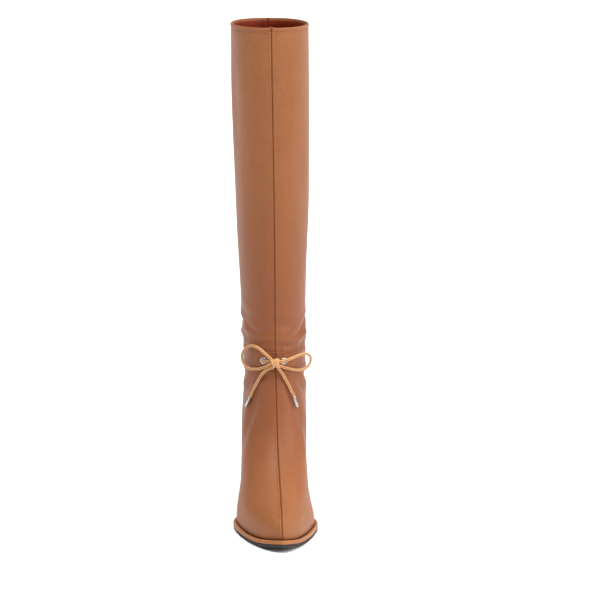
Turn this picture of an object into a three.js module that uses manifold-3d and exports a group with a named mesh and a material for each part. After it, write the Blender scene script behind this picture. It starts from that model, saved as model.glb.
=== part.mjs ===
// A knee-high boot for the right foot: pull-on leather shaft, heeled sole, lace tied in a bow at the ankle.
// Millimetres, +Z up. The toe points along -Y and the inner (medial) side of the foot is +X.
// Inside the helpers, "f" is the distance forward of the shaft's axis, so y = -f.
import * as THREE from "three";
import { mergeVertices } from "three/addons/utils/BufferGeometryUtils.js";
import Module from "manifold-3d";

const wasm = await Module();
wasm.setup();

// ---------------------------------------------------------------- driving dimensions
const BOOT_HEIGHT = 528.5; // floor to collar
const TOE_F = 180.5; // front of the last at the feather line
const HEEL_F = -55; // back of the last at the feather line
const WALL = 1.8; // leather of the upper
const GAP = 0.3; // clearance between pieces that touch
const BALL_OUTER = 43.2; // half widths of the last at the ball, lateral and medial
const BALL_INNER = 41.6;
const WAIST_HALF = 20;
const SEAT_HALF = 24;
const COLLAR_HALF = 41.2; // half width of the shaft at the collar
const COLLAR_DEPTH = 69; // half depth of the shaft at the collar

const WELT_THICK = 4.3;
const WELT_OUT = 3.6; // how far the welt stands out past the feather line
const OUTSOLE_THICK = 3.3;
const OUTSOLE_OUT = 3.2;
const WAIST_THICK = 3; // leather cover of the waist and seat
const INSOLE_THICK = 2.4;
const SOLE_STACK = GAP + WELT_THICK + GAP + OUTSOLE_THICK; // floor to feather line at the tread

const WELT_REAR_F = 50; // where the welt ends and the waist cover starts
const OUTSOLE_REAR_F = 38; // the tread runs a little way up the waist
const BREAST_F = -18; // front face of the heel
const HEEL_TOP = { half: 23.5, depth: 38 };
const HEEL_FOOT = { half: 20.5, depth: 35 };
const LIFT_THICK = 6;

const TIE_Z = 175.1; // height of the eyelets
const LACE_D = 3;
const LACE_SIDES = 8;
const AGLET_D = 3.4;
const AGLET_LENGTH = 13.4;
const KNOT = { x: 0.7, f: 67.7, z: 175.1, half: [4.2, 3, 5.1], boxy: 0.7 };
const EYELETS = [
  { name: "eyelet_outer", x: -12 },
  { name: "eyelet_inner", x: 8.8 },
];
const EYELET_HOLE_R = 2.1;
const EYELET_BARREL_R = 2.5;
const EYELET_RIM_R = 4;
const EYELET_RIM_THICK = 1;
const EYELET_LIFT = 0.7; // the leather is curved under the flat rim

const AROUND = 44; // points round the upper

// ---------------------------------------------------------------- curves through short tables
// A smooth curve through [place, value] pairs that never overshoots them.
function curve(pairs) {
  const x = pairs.map((p) => p[0]);
  const y = pairs.map((p) => p[1]);
  const last = x.length - 1;
  const rise = x.slice(1).map((v, i) => (y[i + 1] - y[i]) / (v - x[i]));
  const slope = x.map((_, i) => {
    if (i === 0 || i === last) return rise[Math.min(i, last - 1)];
    const before = rise[i - 1];
    const after = rise[i];
    return before * after <= 0 ? 0 : (2 * before * after) / (before + after);
  });
  return (at) => {
    const p = Math.min(Math.max(at, x[0]), x[last]);
    let i = 0;
    while (i < last - 1 && p > x[i + 1]) i++;
    const w = x[i + 1] - x[i];
    const t = (p - x[i]) / w;
    const hermite = (1 - t) * (1 - t) * ((1 + 2 * t) * y[i] + t * w * slope[i]);
    return hermite + t * t * ((3 - 2 * t) * y[i + 1] - (1 - t) * w * slope[i + 1]);
  };
}

// Rounds off the end of an outline: 0 at the end itself, 1 where the round meets the side.
function round(share, power) {
  if (share >= 1) return 1;
  return (1 - (1 - Math.max(share, 0)) ** power) ** (1 / power);
}

const mix = (a, b, t) => a + (b - a) * t;

// ---------------------------------------------------------------- the last
// Height of the feather line, where upper meets sole: heel seat, steep waist, flat tread, toe spring.
const featherZ = curve([
  [-60, 88.3],
  [-40, 85.6],
  [-18, 77.5],
  [0, 62],
  [20, 41.5],
  [35, 26.5],
  [50, 14.8],
  [63, 10.2],
  [76, SOLE_STACK],
  [130, SOLE_STACK],
  [155, 9.3],
  [186, 15],
]);

// Height of a layer a given thickness under the feather line, measured square to it.
function under(f, depth) {
  const step = 0.5;
  const slope = (featherZ(f + step) - featherZ(f - step)) / (2 * step);
  return featherZ(f) - depth * Math.hypot(1, slope);
}

// The outer side of the last is fuller and widest further back; the inner side is hollowed at the waist.
const SIDES = {
  lateral: { sign: -1, ballAt: 0.375, ball: "outer", waist: 1.14, toe: 0.93 },
  medial: { sign: 1, ballAt: 0.33, ball: "inner", waist: 0.82, toe: 0.87 },
};

// Rings of the upper from the feather line to the collar. front and back are [f, z] on the centre
// seam; dip is the share of the sole's curve that the ring follows; outer and inner are the half
// widths at the ball, waist and seat those further back; toeEnd and heelEnd are the shares of the
// ring that its round ends take; blunt is the power of the front round; frontX and backX lean the
// ring, and swing is how soon the lean at the front dies away; steps is how many rings lead to it.
const FOOT_RINGS = [
  { name: "feather", steps: 0, front: [TOE_F, 14.2], back: [HEEL_F, 87.8], dip: 1, outer: BALL_OUTER, inner: BALL_INNER,
    waist: WAIST_HALF, seat: SEAT_HALF, toeEnd: 0.42, heelEnd: 0.15, blunt: 1.66, frontX: 8, backX: 0, swing: 3 },
  { name: "wall", steps: 2, front: [182.5, 21], back: [-59, 99], dip: 0.98, outer: 43.2, inner: 40.6,
    waist: 25, seat: 28, toeEnd: 0.43, heelEnd: 0.17, blunt: 1.72, frontX: 8, backX: 0, swing: 3 },
  { name: "shoulder", steps: 2, front: [180, 30], back: [-61, 111], dip: 0.9, outer: 41.6, inner: 37.2,
    waist: 29, seat: 30.5, toeEnd: 0.45, heelEnd: 0.2, blunt: 1.8, frontX: 7.7, backX: 0, swing: 2.8 },
  { name: "toe_top", steps: 2, front: [167, 37.6], back: [-61, 122], dip: 0.78, outer: 39, inner: 34.8,
    waist: 31.5, seat: 31.5, toeEnd: 0.47, heelEnd: 0.25, blunt: 1.85, frontX: 7.2, backX: -0.4, swing: 2.6 },
  { name: "vamp_low", steps: 2, front: [147, 44], back: [-59.5, 132], dip: 0.62, outer: 37.4, inner: 34.2,
    waist: 33, seat: 32, toeEnd: 0.48, heelEnd: 0.3, blunt: 1.88, frontX: 6.4, backX: -1.4, swing: 2.3 },
  { name: "vamp_mid", steps: 2, front: [125, 52.5], back: [-57, 141], dip: 0.46, outer: 36.2, inner: 33.8,
    waist: 33.6, seat: 32.2, toeEnd: 0.48, heelEnd: 0.36, blunt: 1.95, frontX: 5.4, backX: -2.6, swing: 2 },
  { name: "vamp_high", steps: 2, front: [104, 65], back: [-54.5, 149], dip: 0.31, outer: 35.4, inner: 33.8,
    waist: 33.6, seat: 32.3, toeEnd: 0.48, heelEnd: 0.42, blunt: 2, frontX: 4.2, backX: -3.2, swing: 1.8 },
  { name: "instep", steps: 2, front: [85.5, 83.5], back: [-52.5, 156.5], dip: 0.18, outer: 34.8, inner: 33.8,
    waist: 33.5, seat: 32.4, toeEnd: 0.48, heelEnd: 0.46, blunt: 2, frontX: 2.9, backX: -3.4, swing: 1.5 },
  { name: "throat", steps: 2, front: [72, 107], back: [-50.8, 164], dip: 0.08, outer: 34, inner: 33.6,
    waist: 33.3, seat: 32.6, toeEnd: 0.5, heelEnd: 0.48, blunt: 2, frontX: 1.8, backX: -3.2, swing: 1.2 },
];

// Above the foot each ring is an oval: half is its half width.
const SHAFT_RINGS = [
  { name: "ankle", steps: 2, front: [64, 138], back: [-49.6, 173], dip: 0.02, half: 33, frontX: 0.9, backX: -2.8 },
  { name: "tie", steps: 2, front: [59.5, 181], back: [-49.4, 188], dip: 0, half: 33, frontX: -0.1, backX: -3 },
  { name: "above_tie", steps: 1, front: [60, 207], back: [-50.6, 210], dip: 0, half: 34, frontX: -0.3, backX: -4.6 },
  { name: "shaft_low", steps: 2, front: [61.5, 252], back: [-53.5, 252], dip: 0, half: 35.4, frontX: -0.4, backX: -5.2 },
  { name: "calf_low", steps: 2, front: [63.5, 323], back: [-58.5, 323], dip: 0, half: 38.1, frontX: -0.8, backX: -6.2 },
  { name: "calf", steps: 2, front: [66, 403], back: [-63.5, 403], dip: 0, half: 40.4, frontX: -1.8, backX: -7.2 },
  { name: "shaft_top", steps: 2, front: [68, 472], back: [-67, 472], dip: 0, half: 41.3, frontX: -2.8, backX: -8 },
  { name: "collar", steps: 2, front: [COLLAR_DEPTH, BOOT_HEIGHT], back: [-COLLAR_DEPTH, BOOT_HEIGHT], dip: 0,
    half: COLLAR_HALF, frontX: -3.4, backX: -8.4 },
].map(({ half, ...row }) => ({
  ...row, outer: half, inner: half, waist: half, seat: half, toeEnd: 0.5, heelEnd: 0.5, blunt: 2, swing: 1,
}));

const RINGS = [...FOOT_RINGS, ...SHAFT_RINGS];
const HEEL_BLUNT = 2.2;

// One ring between the rows of the table, at a row number that need not be whole.
const ringColumn = (pick) => curve(RINGS.map((row, i) => [i, pick(row)]));
const RING = {
  frontF: ringColumn((row) => row.front[0]),
  frontZ: ringColumn((row) => row.front[1]),
  backF: ringColumn((row) => row.back[0]),
  backZ: ringColumn((row) => row.back[1]),
};
for (const key of ["dip", "outer", "inner", "waist", "seat", "toeEnd", "heelEnd", "blunt", "frontX", "backX", "swing"])
  RING[key] = ringColumn((row) => row[key]);

// The upper's outer surface: level is a row number of the table, turn goes once round from the
// front seam over the lateral side to the back seam and home over the medial side.
function upperPoint(level, turn) {
  const ring = Object.fromEntries(Object.entries(RING).map(([key, at]) => [key, at(level)]));
  const along = (1 - Math.cos(turn)) / 2;
  const side = Math.sin(turn) >= 0 ? SIDES.lateral : SIDES.medial;
  const foot = Math.max(0, 1 - level / (FOOT_RINGS.length - 1)); // the sides grow alike towards the ankle
  const ball = ring[side.ball];
  const width = curve([
    [0, ball],
    [side.ballAt, ball],
    [0.72, ring.waist * mix(1, side.waist, foot)],
    [0.9, ring.seat],
    [1, ring.seat],
  ]);
  const blunt = ring.blunt * mix(1, side.toe, foot);
  const ends = round(along / ring.toeEnd, blunt) * round((1 - along) / ring.heelEnd, HEEL_BLUNT);
  const f = mix(ring.frontF, ring.backF, along);
  const soleF = mix(TOE_F, HEEL_F, along);
  const soleChord = mix(featherZ(TOE_F), featherZ(HEEL_F), along);
  const z = mix(ring.frontZ, ring.backZ, along) + ring.dip * (featherZ(soleF) - soleChord);
  const centre = mix(ring.backX, ring.frontX, (1 - along) ** ring.swing);
  const x = centre + side.sign * width(along) * ends;
  return new THREE.Vector3(x, -f, z);
}

// Outward normal of the upper, from its neighbours on the surface.
function upperNormal(level, turn) {
  const small = 0.02;
  const top = RINGS.length - 1;
  const up = upperPoint(Math.min(level + small, top), turn).sub(upperPoint(Math.max(level - small, 0), turn));
  const round_ = upperPoint(level, turn + small).sub(upperPoint(level, turn - small));
  return round_.cross(up).normalize().negate();
}

// ---------------------------------------------------------------- solids from points and faces
// A closed body: faces of no area are dropped, and the whole is turned to face outwards.
function bodyOf(points, triangles) {
  const corner = triangles.flat().map((i) => points[i]);
  let volume = 0;
  for (let i = 0; i < corner.length; i += 3)
    volume += corner[i].dot(corner[i + 1].clone().cross(corner[i + 2]));
  const loose = new THREE.BufferGeometry().setFromPoints(corner);
  const merged = mergeVertices(loose, 1e-3);
  const at = Array.from(merged.index.array);
  const kept = [];
  for (let i = 0; i < at.length; i += 3) {
    const [a, b, c] = at.slice(i, i + 3);
    if (a === b || b === c || a === c) continue;
    kept.push(a, volume > 0 ? b : c, volume > 0 ? c : b);
  }
  merged.setIndex(kept);
  merged.computeVertexNormals();
  return merged;
}

const quad = (a, b, c, d) => [
  [a, b, c],
  [a, c, d],
];

// A skin with a wall: two stacks of closed rings joined at their first and last rings.
function shell(outer, inner) {
  const rings = outer.length;
  const around = outer[0].length;
  const points = [...outer.flat(), ...inner.flat()];
  const inside = rings * around;
  const faces = [];
  for (let j = 0; j < around; j++) {
    const n = (j + 1) % around;
    for (let i = 0; i < rings - 1; i++) {
      const low = i * around;
      const high = low + around;
      faces.push(...quad(low + j, low + n, high + n, high + j));
      faces.push(...quad(inside + low + n, inside + low + j, inside + high + j, inside + high + n));
    }
    const top = (rings - 1) * around;
    faces.push(...quad(j, inside + j, inside + n, n));
    faces.push(...quad(top + j, top + n, inside + top + n, inside + top + j));
  }
  return bodyOf(points, faces);
}

// A plate between two edges with the same number of points: each point is { x, f }, and top and
// bottom give its heights. share lets a plate change outline between its foot (0) and its top (1).
function plate(edges, top, bottom) {
  const points = [];
  const rows = edges.length;
  for (const { left, right } of edges)
    for (const [edge, height] of [[left.foot, bottom], [right.foot, bottom], [right.top, top], [left.top, top]])
      points.push(new THREE.Vector3(edge.x, -edge.f, height(edge.f)));
  const faces = [];
  for (let i = 0; i < rows - 1; i++)
    for (let k = 0; k < 4; k++) {
      const n = (k + 1) % 4;
      faces.push(...quad(4 * i + k, 4 * i + n, 4 * i + 4 + n, 4 * i + 4 + k));
    }
  const end = 4 * (rows - 1);
  faces.push(...quad(3, 2, 1, 0), ...quad(end, end + 1, end + 2, end + 3));
  return bodyOf(points, faces);
}

// ---------------------------------------------------------------- sole outline
// Places along the foot shared by all the sole's plates, so that their faces stay parallel. A round
// end gets a few more, crowded towards its tip.
const PLATE_STEP = 6; // a whole share of BREAST_F, so that the heel's breast is a station too
const END_REACH = 14;
const END_STEPS = 5;
function stations(first, last, startsRound, endsRound) {
  const places = [];
  for (let k = 0; k < END_STEPS && startsRound; k++) places.push(first - END_REACH * (k / END_STEPS) ** 2);
  const from = startsRound ? first - END_REACH : first;
  const to = endsRound ? last + END_REACH : last;
  places.push(from);
  for (let n = Math.floor(from / PLATE_STEP); n * PLATE_STEP > to; n--)
    if (from - n * PLATE_STEP > 1 && n * PLATE_STEP - to > 1) places.push(n * PLATE_STEP);
  places.push(to);
  for (let k = END_STEPS - 1; k >= 0 && endsRound; k--) places.push(last + END_REACH * (k / END_STEPS) ** 2);
  return places;
}

// Edge points of the last's footprint moved out by "out", between two places along the foot.
function outlineEdges(fromF, toF, out) {
  const whole = 240;
  const half = whole / 2;
  const loop = Array.from({ length: whole }, (_, i) => upperPoint(0, (i * 2 * Math.PI) / whole));
  const moved = loop.map((p, i) => {
    const before = loop[(i + whole - 1) % whole];
    const after = loop[(i + 1) % whole];
    const along = new THREE.Vector2(after.x - before.x, after.y - before.y).normalize();
    return { x: p.x - along.y * out, f: -(p.y + along.x * out) };
  });
  const lateral = moved.slice(0, half + 1);
  const medial = [moved[0], ...moved.slice(half).reverse()];
  const xAt = (edge, f) => {
    let i = 1;
    while (i < edge.length - 1 && edge[i].f > f) i++;
    const [a, b] = [edge[i - 1], edge[i]];
    return mix(a.x, b.x, Math.min(Math.max((a.f - f) / (a.f - b.f), 0), 1));
  };
  const toe = moved[0];
  const heel = moved[half];
  const startsRound = fromF >= toe.f;
  const endsRound = toF <= heel.f;
  const places = stations(startsRound ? toe.f : fromF, endsRound ? heel.f : toF, startsRound, endsRound);
  return places.map((f) => {
    const tip = f >= toe.f ? toe : heel;
    const atTip = f >= toe.f || f <= heel.f;
    const left = { x: atTip ? tip.x : xAt(lateral, f), f };
    const right = { x: atTip ? tip.x : xAt(medial, f), f };
    return { left: { foot: left, top: left }, right: { foot: right, top: right } };
  });
}

// D-shaped heel outline, straight at the breast and round at the back.
function heelEdges(foot, top) {
  const power = 2.5;
  return stations(BREAST_F, BREAST_F - top.depth, false, true).map((place) => {
    const along = (BREAST_F - place) / top.depth;
    const half = Math.max(0, 1 - along ** power) ** (1 / power);
    const edge = (size, sign) => ({ x: sign * size.half * half, f: BREAST_F - along * size.depth });
    return {
      left: { foot: edge(foot, -1), top: edge(top, -1) },
      right: { foot: edge(foot, 1), top: edge(top, 1) },
    };
  });
}

// ---------------------------------------------------------------- pieces
const boot = new THREE.Group();
const leather = { roughness: 0.42, metalness: 0 };

function add(name, geometry, color, finish = leather) {
  const mesh = new THREE.Mesh(geometry, new THREE.MeshStandardMaterial({ color, ...finish }));
  mesh.name = name;
  boot.add(mesh);
  return mesh;
}

// Levels of the table's rows and of the rings between them.
const levels = [0];
RINGS.forEach((row, i) => {
  for (let k = 1; k <= row.steps; k++) levels.push(i - 1 + k / row.steps);
});
const turns = Array.from({ length: AROUND }, (_, j) => (2 * Math.PI * j) / AROUND);
const outerRings = levels.map((level) => turns.map((turn) => upperPoint(level, turn)));
const innerRings = levels.map((level) =>
  turns.map((turn) => {
    const normal = upperNormal(level, turn);
    if (level === 0 || level === RINGS.length - 1) normal.setZ(0).normalize();
    return upperPoint(level, turn).addScaledVector(normal, -WALL);
  }),
);
const upper = shell(outerRings, innerRings);

// Level at which the leather is at a given height on one turn.
function levelAtHeight(turn, z) {
  let [low, high] = [FOOT_RINGS.length, RINGS.length - 1];
  for (let i = 0; i < 30; i++) {
    const half = (low + high) / 2;
    if (upperPoint(half, turn).z < z) low = half;
    else high = half;
  }
  return low;
}

// Axis of an eyelet: where it sits on the leather and the way it faces, level with the floor.
function eyeletSeat(x) {
  let [low, high] = x < 0 ? [0, Math.PI / 2] : [-Math.PI / 2, 0];
  for (let i = 0; i < 30; i++) {
    const half = (low + high) / 2;
    if (upperPoint(levelAtHeight(half, TIE_Z), half).x > x) low = half;
    else high = half;
  }
  const level = levelAtHeight(low, TIE_Z);
  return { at: upperPoint(level, low), facing: upperNormal(level, low).setZ(0).normalize() };
}
const seats = EYELETS.map(({ name, x }) => ({ name, ...eyeletSeat(x) }));

// Moves a shape made along +Y so that it points along an eyelet's axis.
function onSeat(geometry, { at, facing }) {
  const turn = new THREE.Quaternion().setFromUnitVectors(new THREE.Vector3(0, 1, 0), facing);
  return geometry.applyQuaternion(turn).translate(...at.toArray());
}

function solidOf(geometry) {
  const bare = new THREE.BufferGeometry().setAttribute("position", geometry.getAttribute("position"));
  bare.setIndex(geometry.index);
  const merged = mergeVertices(bare, 1e-4);
  const vertProperties = merged.attributes.position.array;
  return new wasm.Manifold(new wasm.Mesh({ numProp: 3, vertProperties, triVerts: merged.index.array }));
}

function geometryOf(solid) {
  const { vertProperties, triVerts } = solid.getMesh();
  const geometry = new THREE.BufferGeometry();
  geometry.setAttribute("position", new THREE.BufferAttribute(vertProperties, 3));
  return geometry.setIndex(new THREE.BufferAttribute(triVerts, 1));
}

const punch = (seat) => solidOf(onSeat(new THREE.CylinderGeometry(EYELET_BARREL_R + GAP, EYELET_BARREL_R + GAP, 12, 16), seat));
add("upper", geometryOf(seats.reduce((solid, seat) => solid.subtract(punch(seat)), solidOf(upper))), 0xb87a52);

const INSOLE_IN = -(WALL + 3 * GAP); // the wall leans, so a little more than one gap
add(
  "insole",
  plate(outlineEdges(400, -400, INSOLE_IN), (f) => under(f, -INSOLE_THICK), (f) => under(f, 0)),
  0xc79a6b,
);

const weltThick = curve([
  [WELT_REAR_F - 5, WAIST_THICK],
  [WELT_REAR_F, WAIST_THICK],
  [74, WELT_THICK],
  [200, WELT_THICK],
]);
add(
  "welt",
  plate(outlineEdges(400, WELT_REAR_F, WELT_OUT), (f) => under(f, GAP), (f) => under(f, GAP + weltThick(f))),
  0xc8875a,
);
add(
  "waist_cover",
  plate(
    outlineEdges(WELT_REAR_F - GAP, -400, 0.4),
    (f) => under(f, GAP),
    (f) => under(f, GAP + WAIST_THICK),
  ),
  0xb9966f,
);

const outsoleThick = curve([
  [OUTSOLE_REAR_F, 1.6],
  [60, 2.8],
  [74, OUTSOLE_THICK],
  [200, OUTSOLE_THICK],
]);
add(
  "outsole",
  plate(
    outlineEdges(400, OUTSOLE_REAR_F, OUTSOLE_OUT),
    (f) => under(f, GAP + weltThick(f) + GAP),
    (f) => under(f, GAP + weltThick(f) + GAP + outsoleThick(f)),
  ),
  0x2a2a2a,
  { roughness: 0.8, metalness: 0 },
);

add(
  "heel_block",
  plate(heelEdges(HEEL_FOOT, HEEL_TOP), (f) => under(f, 2 * GAP + WAIST_THICK), () => LIFT_THICK + GAP),
  0x8f5433,
);
add(
  "top_lift",
  plate(heelEdges(HEEL_FOOT, HEEL_FOOT), () => LIFT_THICK, () => 0),
  0x2a2a2a,
  { roughness: 0.8, metalness: 0 },
);

// An eyelet is a round rim on the leather with a short barrel through it.
function eyelet(seat) {
  const inside = -WALL - 1;
  const profile = [
    [EYELET_HOLE_R, inside],
    [EYELET_BARREL_R, inside],
    [EYELET_BARREL_R, EYELET_LIFT],
    [EYELET_RIM_R, EYELET_LIFT],
    [EYELET_RIM_R, EYELET_LIFT + EYELET_RIM_THICK / 2],
    [(EYELET_RIM_R + EYELET_HOLE_R) / 2, EYELET_LIFT + EYELET_RIM_THICK],
    [EYELET_HOLE_R, EYELET_LIFT + EYELET_RIM_THICK / 2],
    [EYELET_HOLE_R, inside],
  ].map(([r, h]) => new THREE.Vector2(r, h));
  return onSeat(bodyOfLathe(profile, 16), seat);
}

function bodyOfLathe(profile, sides) {
  const lathe = new THREE.LatheGeometry(profile, sides);
  const at = lathe.attributes.position;
  const points = Array.from({ length: at.count }, (_, i) => new THREE.Vector3().fromBufferAttribute(at, i));
  const index = Array.from(lathe.index.array);
  const faces = [];
  for (let i = 0; i < index.length; i += 3) faces.push(index.slice(i, i + 3));
  return bodyOf(points, faces);
}

const metal = { roughness: 0.2, metalness: 1 };
const lace = { roughness: 0.5, metalness: 0 };
const LACE_COLOR = 0xdca877;
const METAL_COLOR = 0xd0d0d2;
for (const seat of seats) add(seat.name, eyelet(seat), METAL_COLOR, metal);

// A round cord along points given as [x, f, z].
function cord(points, steps) {
  const path = new THREE.CatmullRomCurve3(points.map(([x, f, z]) => new THREE.Vector3(x, -f, z)));
  const section = new THREE.Shape();
  for (let i = 0; i < LACE_SIDES; i++) {
    const turn = (2 * Math.PI * i) / LACE_SIDES;
    const at = [(LACE_D / 2) * Math.cos(turn), (LACE_D / 2) * Math.sin(turn)];
    if (i === 0) section.moveTo(...at);
    else section.lineTo(...at);
  }
  section.closePath();
  return new THREE.ExtrudeGeometry(section, { extrudePath: path, steps, bevelEnabled: false });
}

// The lace between the eyelets: out of each, over its rim and across behind the knot. out is the
// distance from the leather, inward the distance towards the front seam.
const THREADED = [
  { out: -1.2, inward: 0 },
  { out: 1.4, inward: 0 },
  { out: 3.4, inward: 1.9 },
];
function threaded({ at, facing }) {
  const across = new THREE.Vector3(-Math.sign(at.x) * Math.abs(facing.y), -Math.abs(facing.x), 0);
  return THREADED.map(({ out, inward }) => {
    const p = at.clone().addScaledVector(facing, out).addScaledVector(across, inward);
    return [p.x, -p.y, p.z];
  });
}
const [outerEnd, innerEnd] = seats.map(threaded);
const BEHIND_KNOT = [
  [-4.5, 62.6, TIE_Z],
  [2.3, 62.8, TIE_Z],
];
add("lace_crossing", cord([...outerEnd, ...BEHIND_KNOT, ...innerEnd.reverse()], 20), LACE_COLOR, lace);

// The bow, knot first: routes of [x, f, z] with the number of steps along each.
const LOOP_OUTER = [
  [-4.4, 67.3, 179],
  [-7.6, 66.2, 182.2],
  [-12.6, 62.8, 186],
  [-18.5, 58, 189.7],
  [-24.3, 52, 190.5],
  [-30.2, 45.5, 187.6],
  [-34.4, 39, 181.6],
  [-35.8, 36, 174.6],
  [-33.5, 37, 167],
  [-28.6, 43.5, 164.2],
  [-22.4, 51.5, 165.1],
  [-16.1, 58, 167],
  [-9.8, 63, 170.3],
  [-4.5, 66.2, 173.8],
];
const LOOP_INNER = [
  [6, 67.2, 176.8],
  [11, 65.2, 177.4],
  [17, 60.8, 178.7],
  [23, 55, 180],
  [28.8, 48.5, 180.6],
  [34, 42.5, 179.6],
  [37.4, 38, 175.1],
  [37.2, 36.5, 169.3],
  [33.3, 38.5, 164],
  [27.3, 44.5, 162.6],
  [21.1, 51.5, 164.2],
  [15, 57.8, 166.8],
  [9.9, 62.5, 169.1],
  [5.9, 65.6, 171.4],
];
const TAIL_OUTER = [
  [-2.4, 66, 170.2],
  [-6.6, 63.6, 168],
  [-10, 61.9, 165.7],
  [-12.7, 60.3, 163],
  [-15.5, 58.5, 159.2],
  [-19.6, 55.6, 151.2],
  [-24.2, 50.8, 141.4],
  [-27.3, 47.4, 133.4],
];
const TAIL_INNER = [
  [3.4, 66.4, 169.4],
  [4.9, 65.4, 167],
  [7, 63.9, 164],
  [10.2, 62.4, 157.6],
  [13.8, 61.3, 150.6],
  [17.3, 60.2, 143.1],
  [19.4, 59.3, 139],
  [20, 59, 137],
];
const TIES = [
  { name: "loop_outer", route: LOOP_OUTER, steps: 19 },
  { name: "loop_inner", route: LOOP_INNER, steps: 17 },
  { name: "tail_outer", route: TAIL_OUTER, steps: 11, aglet: "aglet_outer" },
  { name: "tail_inner", route: TAIL_INNER, steps: 9, aglet: "aglet_inner" },
];
for (const { name, route, steps, aglet } of TIES) {
  add(name, cord(route, steps), LACE_COLOR, lace);
  if (!aglet) continue;
  const [before, last] = route.slice(-2).map(([x, f, z]) => new THREE.Vector3(x, -f, z));
  const facing = last.clone().sub(before).normalize();
  const at = last.clone().addScaledVector(facing, GAP + AGLET_LENGTH / 2);
  const tube = new THREE.CylinderGeometry(AGLET_D / 2, AGLET_D / 2, AGLET_LENGTH, 12);
  add(aglet, onSeat(tube, { at, facing }), METAL_COLOR, metal);
}

// The knot is a ball squared off a little.
const knot = new THREE.SphereGeometry(1, 14, 10);
const knotAt = knot.getAttribute("position");
const squared = (v, half) => half * Math.sign(v) * Math.abs(v) ** KNOT.boxy;
for (let i = 0; i < knotAt.count; i++) {
  const [x, y, z] = [knotAt.getX(i), knotAt.getY(i), knotAt.getZ(i)];
  knotAt.setXYZ(i, squared(x, KNOT.half[0]), squared(y, KNOT.half[1]), squared(z, KNOT.half[2]));
}
knot.translate(KNOT.x, -KNOT.f, KNOT.z);
add("lace_knot", knot, LACE_COLOR, lace);

// The frame's origin is on the floor, under the middle of the boot.
const box = new THREE.Box3().setFromObject(boot);
const middle = box.getCenter(new THREE.Vector3());
boot.position.set(-middle.x, -middle.y, 0);

export default boot;
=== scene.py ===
import math

import bpy
import numpy as np
from mathutils import Matrix, Vector


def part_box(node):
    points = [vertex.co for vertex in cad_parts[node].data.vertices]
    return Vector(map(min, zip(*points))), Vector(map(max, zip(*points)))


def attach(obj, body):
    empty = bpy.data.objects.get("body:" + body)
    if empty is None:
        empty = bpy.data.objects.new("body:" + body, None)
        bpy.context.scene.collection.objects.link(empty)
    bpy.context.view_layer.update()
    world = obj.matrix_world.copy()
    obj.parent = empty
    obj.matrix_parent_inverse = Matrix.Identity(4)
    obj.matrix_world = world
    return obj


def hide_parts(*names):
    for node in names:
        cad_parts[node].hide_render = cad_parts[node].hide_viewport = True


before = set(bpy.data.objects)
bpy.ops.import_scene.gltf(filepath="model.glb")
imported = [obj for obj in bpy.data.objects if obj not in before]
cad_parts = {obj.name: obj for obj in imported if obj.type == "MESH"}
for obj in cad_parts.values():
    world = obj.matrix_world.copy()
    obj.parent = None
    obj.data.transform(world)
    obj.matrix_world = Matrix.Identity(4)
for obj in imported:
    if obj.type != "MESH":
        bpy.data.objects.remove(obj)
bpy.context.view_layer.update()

MM = 0.001
BODY = "root"

# ------------------------------------------------------------------ camera
CAMERA_PLACE = (0.02724, -2.64245, 0.748)
CAMERA_DOWN = 10.86
CAMERA_LENS = 152.9

camera = bpy.data.objects.new("camera", bpy.data.cameras.new("camera"))
bpy.context.scene.collection.objects.link(camera)
camera.location = CAMERA_PLACE
camera.rotation_euler = (math.radians(90 - CAMERA_DOWN), 0, 0)
camera.data.lens = CAMERA_LENS
camera.data.sensor_width = 36
camera.data.clip_end = 100
bpy.context.scene.camera = camera

# ------------------------------------------------------------------ sizes, in millimetres
# f is the distance forward of the shaft's axis, so y = -f; +x is the inner side of the foot.
BOOT_HEIGHT = 528.5
TOE_F = 180.5
HEEL_F = -55
WALL = 1.8
GAP = 0.3
WELT_THICK = 4.3
OUTSOLE_THICK = 3.3
WAIST_THICK = 3
SOLE_STACK = 8.2
WELT_REAR_F = 50
OUTSOLE_REAR_F = 38
BREAST_F = -18
LIFT_THICK = 6
TIE_Z = 175.1
CASING_TOP_Z = 184.7
CASING_FOOT_Z = 166
HEM = 4.7
AGLET_D = 3.4
AGLET_LENGTH = 13.4
EYELET_PLACES = {"eyelet_outer": -12, "eyelet_inner": 8.8}

# The frame's origin is under the middle of the boot: the top lift says where the axis is from it.
lift_low, lift_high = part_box("top_lift")
ORIGIN = np.array([(lift_low.x + lift_high.x) / 2, lift_low.y + BREAST_F * MM, 0])


# ------------------------------------------------------------------ curves through short tables
def curve(pairs):
    """A smooth curve through (place, value) pairs that never overshoots them."""
    x = np.array([p[0] for p in pairs], float)
    y = np.array([p[1] for p in pairs], float)
    rise = np.diff(y) / np.diff(x)
    slope = np.empty_like(y)
    slope[0] = rise[0]
    slope[-1] = rise[-1]
    before = rise[:-1]
    after = rise[1:]
    turns_back = before * after <= 0
    total = np.where(turns_back, 1, before + after)
    slope[1:-1] = np.where(turns_back, 0, 2 * before * after / total)

    def at(place):
        p = np.clip(np.asarray(place, float), x[0], x[-1])
        i = np.clip(np.searchsorted(x, p, side="right") - 1, 0, len(x) - 2)
        w = x[i + 1] - x[i]
        t = (p - x[i]) / w
        start = (1 - t) ** 2 * ((1 + 2 * t) * y[i] + t * w * slope[i])
        return start + t**2 * ((3 - 2 * t) * y[i + 1] - (1 - t) * w * slope[i + 1])

    return at


def rounded(share, power):
    """0 at the end of an outline, 1 where its round end meets the side."""
    left = 1 - np.clip(share, 0, 1)
    return (1 - left**power) ** (1 / power)


def mix(a, b, t):
    return a + (b - a) * t


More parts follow.
